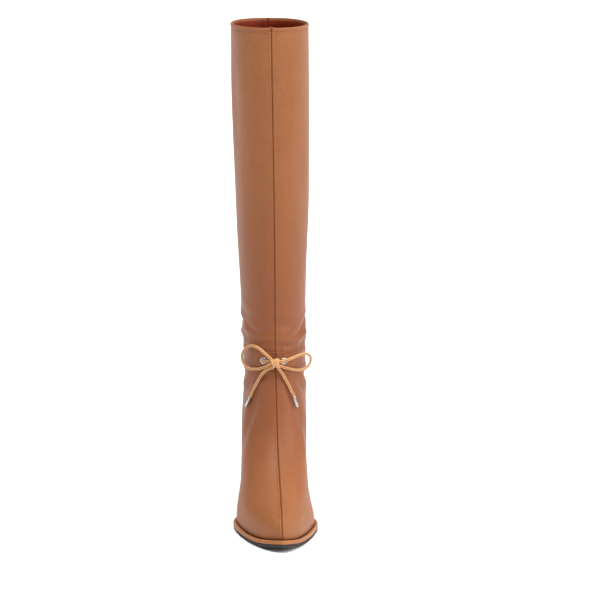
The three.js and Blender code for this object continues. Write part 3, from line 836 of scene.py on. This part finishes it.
def footprint(out):
    """The last's outline moved outwards, once round from the toe. out is a number, or a curve over f."""
    loop = upper_ring(0, outline_turns[:-1])[:, :2]
    if callable(out):
        out = out(-loop[:, 1])[:, None]
    along = np.roll(loop, -1, axis=0) - np.roll(loop, 1, axis=0)
    along /= np.linalg.norm(along, axis=1, keepdims=True)
    moved = loop + out * np.stack([-along[:, 1], along[:, 0]], axis=1)
    return np.concatenate([moved, moved[:1]])


# The inner rings of a plate, as shares of the way from its spine to its edge.
FILL = (0.75, 0.45, 0)


def cut_at(kept, dropped, f):
    """Where the outline between two of its points is at a distance forward."""
    return mix(kept, dropped, (-f - kept[1]) / (dropped[1] - kept[1]))


def plate(name, out, top, bottom, profile, rear_f=None, front_f=None, seam_and_shade=None):
    """A plate that follows the last's outline. profile goes from the bottom's inside edge out and
    over to the top's, as (inset in millimetres, height as a share of the plate's thickness), with
    a value for each of its points of the mark for dark seams and painted shade. rear_f cuts the plate off
    behind, or front_f in front.
    Inside the profile it is filled to its spine."""
    base = footprint(out)
    forward = -base[:, 1]
    closed = rear_f is None and front_f is None
    if closed:
        order = np.arange(len(base))
    elif front_f is not None:
        order = np.flatnonzero(forward <= front_f)
    else:
        from_heel = np.roll(np.arange(OUTLINE), -(OUTLINE // 2))
        order = from_heel[forward[from_heel] >= rear_f]
    edge = base[order]
    if not closed:
        cut_f = front_f if rear_f is None else rear_f
        first = cut_at(edge[0], base[order[0] - 1], cut_f)
        last = cut_at(edge[-1], base[order[-1] + 1], cut_f)
        edge = np.vstack([first, edge, last])
    spine = (edge + edge[::-1]) / 2
    tangent = np.gradient(edge, axis=0)
    if closed:
        tangent[0] = tangent[-1] = edge[1] - edge[-2]
    tangent /= np.linalg.norm(tangent, axis=1, keepdims=True)
    inward = np.stack([tangent[:, 1], -tangent[:, 0]], axis=1)
    inward *= np.sign((inward * (spine - edge)).sum(axis=1).mean())
    rows = []
    for inset, share in profile:
        ring = edge + inward * inset
        rows.append(np.column_stack([ring, mix(bottom(-ring[:, 1]), top(-ring[:, 1]), share)]))

    def filled(source, height_of):
        middle = (source[:, :2] + source[::-1, :2]) / 2
        rings = [middle + (source[:, :2] - middle) * share for share in FILL]
        return [np.column_stack([ring, height_of(-ring[:, 1])]) for ring in rings]

    points = np.stack(filled(rows[0], bottom)[::-1] + rows + filled(rows[-1], top))
    flat = [0] * len(FILL)
    column = np.array(flat + list(seam_and_shade or [0] * len(profile)) + flat, float)
    marks = {"seam_and_shade": np.repeat(column[:, None], len(edge), axis=1)}
    return net(name, points, marks, close=True, weld=0.02 * MM, smooth=50)


FRONT_F = 200
welt_thick = curve([
    (WELT_REAR_F - 5, WAIST_THICK), (WELT_REAR_F, WAIST_THICK), (74, WELT_THICK), (FRONT_F, WELT_THICK),
])
welt_out = curve([(WELT_REAR_F, 1.2), (82, 3.6), (FRONT_F, 3.6)])
sole_out = curve([(OUTSOLE_REAR_F, 0.3), (WELT_REAR_F, 1), (82, 3.2), (FRONT_F, 3.2)])
sole_thick = curve([(OUTSOLE_REAR_F, 1.6), (60, 2.8), (74, OUTSOLE_THICK), (FRONT_F, OUTSOLE_THICK)])


def layer(depth, thick=None):
    """Height over f of a face a depth under the feather line, or that and a thickness over f."""
    return lambda f: under(f, depth + (thick(f) if thick else 0))


WELT_PROFILE = [
    (6, 0), (1.2, 0), (0.4, 0.02), (0.1, 0.07), (0, 0.16), (0, 0.4), (0.06, 0.46), (0.06, 0.5), (0, 0.56),
    (0, 0.8), (0.1, 0.89), (0.35, 0.96), (0.8, 1.0), (1.6, 1.0), (2.3, 0.97), (2.8, 0.88), (3.2, 0.86),
    (3.6, 0.92), (4.2, 0.98), (5, 1.0),
]
# Painted shade under the welt's edge, in the groove round it, and over its top where it runs in under the
# upper.
WELT_SHADE = [0, 0, 0.3, 0.2, 0, 0, 0.25, 0.25, 0, 0, 0, 0, 0, 0, 0.15, 0.5, 0.8, 0.9, 1, 1]
welt = plate(
    "welt_strip", welt_out, layer(GAP), layer(GAP, welt_thick), WELT_PROFILE, rear_f=WELT_REAR_F,
    seam_and_shade=WELT_SHADE)
finished(welt, welt_leather, "welt_leather", "welt")

SOLE_PROFILE = [
    (9, 0), (2.4, 0), (1.3, 0.01), (0.6, 0.06), (0.15, 0.2), (0, 0.4), (0, 0.8), (0.1, 0.93), (0.35, 0.99),
    (0.8, 1), (4, 1),
]
outsole = plate(
    "forefoot_sole", sole_out, layer(GAP * 1.4, welt_thick),
    layer(GAP * 2, lambda f: welt_thick(f) + sole_thick(f)), SOLE_PROFILE, rear_f=OUTSOLE_REAR_F)
finished(outsole, black_rubber, "sole_rubber", "outsole")

COVER_PROFILE = [(5, 0), (1.4, 0), (0.5, 0.1), (0.1, 0.35), (0, 0.6), (0.1, 0.85), (0.5, 1), (5, 1)]
# The wrap is painted darker up its edge and over its top, as shade where it lies against the upper.
cover = plate(
    "waist_wrap", 0.4, layer(GAP), layer(GAP + WAIST_THICK), COVER_PROFILE, front_f=WELT_REAR_F - GAP,
    seam_and_shade=[0, 0, 0.1, 0.2, 0.3, 0.6, 0.9, 1])
finished(cover, waist_leather, "waist_leather", "waist_cover")

INSOLE_PROFILE = [(5, 0), (0.6, 0), (0.1, 0.2), (0, 0.5), (0.1, 0.8), (0.6, 1), (5, 1)]
# The footbed is painted darker round its edge, as shade where it meets the wall of the boot.
insole = plate(
    "footbed", -2.7, layer(-2.4), layer(0), INSOLE_PROFILE, seam_and_shade=[0, 0, 0.3, 0.4, 0.4, 0.2, 0])
finished(insole, insole_leather, "insole_leather", "insole")

# ------------------------------------------------------------------ heel
HEEL_TOP = (23.5, 38)
HEEL_FOOT = (20.5, 35)
HEEL_MIDDLE = 17
HEEL_POWER = 2.5
HEEL_ROUND = 1.2
HEEL_SIDES = 72
CORNER_POINTS = 6


def heel_ring(half, depth, inset=0.0, corner=HEEL_ROUND):
    """D-shaped outline, straight at the breast with small round corners, round behind."""
    t = np.linspace(0, 1, HEEL_SIDES)
    angle = t * math.pi
    x = (half - inset) * np.sign(np.cos(angle)) * np.abs(np.cos(angle)) ** (2 / HEEL_POWER)
    back = (depth - inset) * np.abs(np.sin(angle)) ** (2 / HEEL_POWER)
    side = np.column_stack([x, BREAST_F - back])
    side[:, 1] = np.minimum(side[:, 1], BREAST_F - inset - corner)
    corners = []
    for start, sign in ((math.pi, -1), (math.pi / 2, 1)):
        centre = np.array([sign * (half - inset - corner), BREAST_F - inset - corner])
        for a in np.linspace(start, start - math.pi / 2, CORNER_POINTS):
            corners.append(centre + corner * np.array([math.cos(a), math.sin(a)]))
    return np.concatenate([side, np.array(corners)])


def heel_net(name, levels):
    """A piece of the heel with a ring at each of (share of its height, inset, z over f), closed to
    the middle below and above."""
    rows = []
    for share, inset, z_of in levels:
        half = mix(HEEL_FOOT[0], HEEL_TOP[0], share)
        depth = mix(HEEL_FOOT[1], HEEL_TOP[1], share)
        ring = heel_ring(half, depth, inset)
        rows.append(np.column_stack([ring[:, 0], -ring[:, 1], z_of(ring[:, 1])]))
    centre = np.array([0, HEEL_MIDDLE - BREAST_F])
    closed = []
    for source, z_of in ((rows[0], levels[0][2]), (rows[-1], levels[-1][2])):
        caps = []
        for share in (0.66, 0.33, 0):
            flat = centre + (source[:, :2] - centre) * share
            caps.append(np.column_stack([flat, z_of(-flat[:, 1])]))
        closed.append(caps)
    points = np.stack(closed[0][::-1] + rows + closed[1])
    return net(name, ringed(points), weld=0.01 * MM, smooth=45)


def at_height(z):
    return lambda f: 0 * f + z


def heel_height(share):
    foot = LIFT_THICK + 0.4 * GAP
    return lambda f: mix(foot, under(f, GAP * 1.3 + WAIST_THICK), share)


block_levels = [(0, 0.5, heel_height(0)), (0, 0.12, heel_height(0.004)), (0, 0, heel_height(0.012))]
block_levels += [(s, 0, heel_height(s)) for s in np.linspace(0.03, 0.985, 24)]
block_levels += [(1, 0.1, heel_height(0.995)), (1, 0.5, heel_height(1))]
block = heel_net("heel_stack", block_levels)
finished(block, heel_leather, "heel_leather", "heel_block")

lift_levels = [
    (0, 0.9, at_height(0)), (0, 0.35, at_height(0.12)), (0, 0.05, at_height(0.45)), (0, 0, at_height(0.9)),
    (0, 0, at_height(2.0)), (0, 0, at_height(4.4)), (0, 0.05, at_height(5.3)), (0, 0.15, at_height(5.75)),
    (0, 0.5, at_height(5.95)),
]
top_lift = heel_net("heel_tip", lift_levels)
finished(top_lift, black_rubber, "sole_rubber", "top_lift")

# ------------------------------------------------------------------ lace
KNOT_AT = np.array([0.7, -67.7, 175.1])


def route(points):
    """Points given as (x, f, z) on the smooth line through them, a fraction of a millimetre apart."""
    p = np.array([(x, -f, z) for x, f, z in points], float)
    p = np.concatenate([[2 * p[0] - p[1]], p, [2 * p[-1] - p[-2]]])
    knots = np.concatenate([[0], np.cumsum(np.sqrt(np.linalg.norm(np.diff(p, axis=0), axis=1)))])
    line = []
    for i in range(1, len(p) - 2):
        t0, t1, t2, t3 = knots[i - 1:i + 3]
        steps = max(4, int(np.linalg.norm(p[i + 1] - p[i]) / 0.7))
        for t in np.linspace(t1, t2, steps, endpoint=False):
            a1 = mix(p[i - 1], p[i], (t - t0) / (t1 - t0))
            a2 = mix(p[i], p[i + 1], (t - t1) / (t2 - t1))
            a3 = mix(p[i + 1], p[i + 2], (t - t2) / (t3 - t2))
            b1 = mix(a1, a2, (t - t0) / (t2 - t0))
            b2 = mix(a2, a3, (t - t1) / (t3 - t1))
            line.append(mix(b1, b2, (t - t1) / (t2 - t1)))
    line.append(p[-2])
    return np.array(line)


# Section of the lace: (across, out, darkness of the seam line), a strip folded over so that both edges meet
# in a line.
LACE_SECTION = [
    (-1.5, 0.0, 0), (-1.42, 0.55, 0), (-1.1, 0.95, 0), (-0.7, 1.12, 0), (-0.32, 0.98, 0.3), (0.0, 0.6, 1),
    (0.32, 0.98, 0.3), (0.7, 1.12, 0), (1.1, 0.95, 0), (1.42, 0.55, 0), (1.5, 0.0, 0), (1.42, -0.55, 0),
    (1.1, -0.95, 0), (0.55, -1.12, 0), (0, -1.14, 0), (-0.55, -1.12, 0), (-1.1, -0.95, 0), (-1.42, -0.55, 0),
]
ANKLE_AXIS = np.array([-1.5, -5.0])


def strand(name, line, section=LACE_SECTION, closed=False, turn=None):
    """A lace along a line, its folded face turned away from the leg, or the way that turn gives."""
    if closed:
        ahead = np.roll(line, -1, axis=0) - np.roll(line, 1, axis=0)
    else:
        ahead = np.gradient(line, axis=0)
    ahead /= np.linalg.norm(ahead, axis=1, keepdims=True)
    out = np.zeros_like(line)
    if turn is None:
        out[:, :2] = line[:, :2] - ANKLE_AXIS
    else:
        out = turn(line)
    out -= ahead * (out * ahead).sum(axis=1, keepdims=True)
    out /= np.linalg.norm(out, axis=1, keepdims=True)
    across = np.cross(out, ahead)
    rings = [line + across * a + out * b for a, b, _ in section]
    rings = np.stack(rings + rings[:1], axis=1)
    marks = np.array([s[2] for s in section] + [section[0][2]], float)
    values = np.repeat(marks[None], len(line), axis=0)
    if closed:
        rings = np.concatenate([rings, rings[:1]])
        values = np.concatenate([values, values[:1]])
    return net(name, rings, {"seam_and_shade": values}, close=True, smooth=60)


# Routes of the bow, as (x, f, z). Each starts inside the knot, and the loops end there too.
LOOP_OUTER = [
    (-1.4, 67.4, 175.8), (-4.4, 67.3, 179), (-7.6, 66.2, 182.2), (-12.6, 62.8, 186),
    (-18.5, 58, 189.7), (-24.3, 52, 190.5), (-30.2, 45.5, 187.6), (-34.4, 39, 181.6),
    (-35.8, 36, 174.6), (-33.5, 37, 167), (-28.6, 43.5, 164.2), (-22.4, 51.5, 165.1),
    (-16.1, 58, 167), (-9.8, 63, 170.3), (-4.5, 66.2, 173.8), (-0.6, 67.2, 175.1),
]
LOOP_INNER = [
    (2.6, 67.4, 176.2), (6, 67.2, 176.8), (11, 65.2, 177.4), (17, 60.8, 178.7), (23, 55, 180),
    (28.8, 48.5, 180.6), (34, 42.5, 179.6), (37.4, 38, 175.1), (37.2, 36.5, 169.3),
    (33.3, 38.5, 164), (27.3, 44.5, 162.6), (21.1, 51.5, 164.2), (15, 57.8, 166.8),
    (9.9, 62.5, 169.1), (5.9, 65.6, 171.4), (2.2, 67.2, 173),
]
TAIL_OUTER = [
    (0.4, 66.6, 173), (-2.4, 66, 170.2), (-6.6, 63.6, 168), (-10, 61.9, 165.7), (-12.7, 60.3, 163),
    (-15.5, 58.5, 159.2), (-19.6, 55.6, 151.2), (-24.2, 50.8, 141.4), (-27.3, 47.4, 133.4),
]
TAIL_INNER = [
    (2, 67.2, 172.6), (3.4, 66.4, 169.4), (4.9, 65.4, 167), (7, 63.9, 164), (10.2, 62.4, 157.6),
    (13.8, 61.3, 150.6), (17.3, 60.2, 143.1), (19.4, 59.3, 139), (20, 59, 137),
]

AGLET_R = AGLET_D / 2
AGLET_PROFILE = [(AGLET_R - inset, z) for inset, z in (
    (0.25, 0.3), (0.08, 0), (0, 0.25), (0, 1), (0.1, 1.25), (0.1, 1.5), (0, 1.75), (0, AGLET_LENGTH - 1.9),
    (0.04, AGLET_LENGTH - 1.1), (0.2, AGLET_LENGTH - 0.5), (0.5, AGLET_LENGTH - 0.15),
    (0.95, AGLET_LENGTH), (1, AGLET_LENGTH - 0.6),
)]
AGLET_ONTO_LACE = 0.6


for name, points in (("loop_outer", LOOP_OUTER), ("loop_inner", LOOP_INNER)):
    line = route(points)
    piece = strand("lace_" + name, line)
    finished(piece, lace_leather, "lace_leather", name)

for name, aglet, points in (
    ("tail_outer", "aglet_outer", TAIL_OUTER),
    ("tail_inner", "aglet_inner", TAIL_INNER),
):
    line = route(points)
    piece = strand("lace_" + name, line)
    finished(piece, lace_leather, "lace_leather", name)
    direction = line[-1] - line[-3]
    direction /= np.linalg.norm(direction)
    tip = turned("tip_" + aglet, AGLET_PROFILE, sides=40)
    place_by(tip, standing((line[-1] - direction * AGLET_ONTO_LACE) * MM + ORIGIN, direction))
    finished(tip, bright_metal, "bright_metal", aglet)


def threaded(seat):
    """The lace out of an eyelet: from inside the boot, through the hole and over the rim."""
    at, normal = seat
    inward = np.array([-math.copysign(abs(normal[1]), at[0]), -abs(normal[0]), 0])
    stops = [(-5.5, -1.0), (-1.2, 0), (1.4, 0), (3.4, 1.9)]
    places = [at + normal * out + inward * across for out, across in stops]
    return [(p[0], -p[1], p[2]) for p in places]


crossing_line = route(
    threaded(seats["eyelet_outer"]) + [(-4.5, 62.6, TIE_Z), (2.3, 62.8, TIE_Z)]
    + threaded(seats["eyelet_inner"])[::-1])
crossing = strand("lace_bar", crossing_line)
finished(crossing, lace_leather, "lace_leather", "lace_crossing")

# The knot is a band of the lace wrapped round the strands, with a second turn behind it.
WRAP_SECTION = [
    (-2.3, 0.0, 0), (-2.2, 0.5, 0), (-1.8, 0.85, 0), (-1.1, 1.0, 0), (-0.4, 0.95, 0.1), (0, 0.8, 0.5),
    (0.4, 0.95, 0.1), (1.1, 1.0, 0), (1.8, 0.85, 0), (2.2, 0.5, 0), (2.3, 0.0, 0), (2.0, -0.6, 0),
    (1.2, -0.9, 0), (0, -0.95, 0), (-1.2, -0.9, 0), (-2.0, -0.6, 0),
]


def wrap(name, centre, half_height, half_depth, lean):
    angles = np.arange(48) * 2 * math.pi / 48
    squeeze = 0.8
    up = half_height * np.sign(np.sin(angles)) * np.abs(np.sin(angles)) ** squeeze
    out = half_depth * np.sign(np.cos(angles)) * np.abs(np.cos(angles)) ** squeeze
    line = np.column_stack([centre[0] + up * math.tan(math.radians(lean)), centre[1] - out, centre[2] + up])
    return strand(name, line, WRAP_SECTION, closed=True, turn=lambda points: points - centre)


band = wrap("lace_knot_band", KNOT_AT + np.array([0.9, 0, 0.2]), 3.9, 2.6, 12)
finished(band, lace_leather, "lace_leather", "lace_knot")
turn_behind = wrap("lace_knot_turn", KNOT_AT + np.array([-1.9, 0.8, -0.4]), 3.3, 2.3, -22)
finished(turn_behind, lace_leather, "lace_leather")

# ------------------------------------------------------------------ studio
deselect()
bpy.ops.mesh.primitive_plane_add(size=40, location=(0, 6, 0))
floor = named("floor")


def floor_finish():
    f = Finish("pale_floor")
    cloud = f.noise(1.5, detail=2)
    colour = f.blend(srgb(247, 247, 248), srgb(250, 250, 250), cloud)
    return f.shade(Base_Color=colour, Roughness=0.85, Specular_IOR_Level=0.2)


floor.data.materials.append(floor_finish())

# A white surround that lights nothing: only the camera sees it.
deselect()
bpy.ops.mesh.primitive_uv_sphere_add(segments=48, ring_count=24, radius=12, location=(0, 0, 0))
backdrop = named("backdrop")


def backdrop_finish():
    f = Finish("white_backdrop")
    return f.shade(Base_Color=srgb(0, 0, 0), Roughness=1.0, Specular_IOR_Level=0.0,
                   Emission_Color=(1.0, 1.0, 1.0, 1.0), Emission_Strength=1.0)


backdrop.data.materials.append(backdrop_finish())
backdrop.visible_diffuse = False
backdrop.visible_glossy = False
backdrop.visible_transmission = False
backdrop.visible_shadow = False

# The studio's light comes from all round, but is weaker from where the camera stands and its left.
WORLD_LIGHT = 0.68
CAMERA_SIDE_LIGHT = 0.1
LEFT_SHARE = 0.34
world = bpy.data.worlds.new("studio")
studio = Finish("studio", world)
towards = studio.node("TexCoord")
across = studio.node("SeparateXYZ", None, {"Vector": towards}, out=0)
ahead = studio.node("SeparateXYZ", None, {"Vector": towards}, out=1)
glow = studio.node("MapRange", {"interpolation_type": "SMOOTHSTEP"}, {
    "Value": ahead, "From Min": -0.96, "From Max": -0.3, "To Min": CAMERA_SIDE_LIGHT, "To Max": WORLD_LIGHT})
shade = studio.node("MapRange", {"interpolation_type": "SMOOTHSTEP"}, {
    "Value": across, "From Min": -0.95, "From Max": 0.1, "To Min": LEFT_SHARE, "To Max": 1.0})
background = studio.node("Background", None, {"Color": (1.0, 1.0, 1.0, 1.0), "Strength": glow * shade})
studio.node("OutputWorld", None, {"Surface": background})
bpy.context.scene.world = world

# Wide, soft lamps. Columns: name, degrees round from the front (plus is to the right), degrees up,
# width in degrees, strength, colour.
LAMPS = [
    ("key", 62, 27, 42, 2.1, (1.0, 0.985, 0.955)),
    ("top", -18, 71, 46, 3.1, (1.0, 1.0, 1.0)),
    ("strip", -72, 24, 12, 0.15, (1.0, 1.0, 1.0)),
]
for name, round_, up, wide, strength, colour in LAMPS:
    lamp = bpy.data.lights.new(name, "SUN")
    lamp.energy = strength
    lamp.angle = math.radians(wide)
    lamp.color = colour
    stand = bpy.data.objects.new(name, lamp)
    bpy.context.scene.collection.objects.link(stand)
    turn, rise = math.radians(round_), math.radians(up)
    towards = Vector((math.sin(turn) * math.cos(rise), -math.cos(turn) * math.cos(rise), math.sin(rise)))
    stand.location = towards * 3
    stand.rotation_euler = towards.to_track_quat("Z", "Y").to_euler()

bpy.context.scene.view_settings.view_transform = "Standard"
